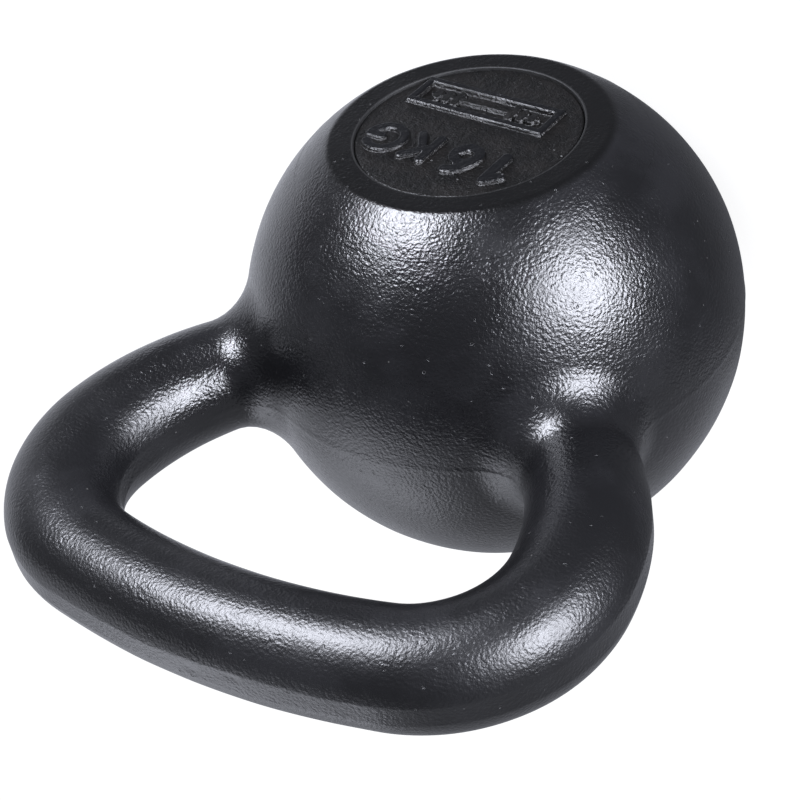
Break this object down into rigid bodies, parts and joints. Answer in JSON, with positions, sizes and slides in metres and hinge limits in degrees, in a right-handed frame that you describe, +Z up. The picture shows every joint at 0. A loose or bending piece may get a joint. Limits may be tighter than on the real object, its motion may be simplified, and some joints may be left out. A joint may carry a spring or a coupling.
{
  "type": "kettlebell",
  "caption": "Cast iron kettlebell with a wide round grip, a flat front face and a flat base to stand on.",
  "frame": {"origin": "centre of the base flat, straight below the ball's centre", "axes": "+Z up from the base flat to the grip, +X along the grip, -Y out of the flat front face with the weight mark"},
  "size_m": [0.1964, 0.1435, 0.2364],
  "materials": {
    "enamelled_iron": "glossy blue-black hammered enamel over sand-cast iron",
    "plate_enamel": "satin black enamel over a coarse sand-cast face, glossier on the raised figures",
    "plug_enamel": "satin black enamel",
    "bare_steel": "plain turned steel"
  },
  "bodies": {
    "root": {"bell_casting": "enamelled_iron", "weight_plate": "plate_enamel", "trim_slug": "bare_steel", "base_plug": "plug_enamel"}
  },
  "joints": []
}
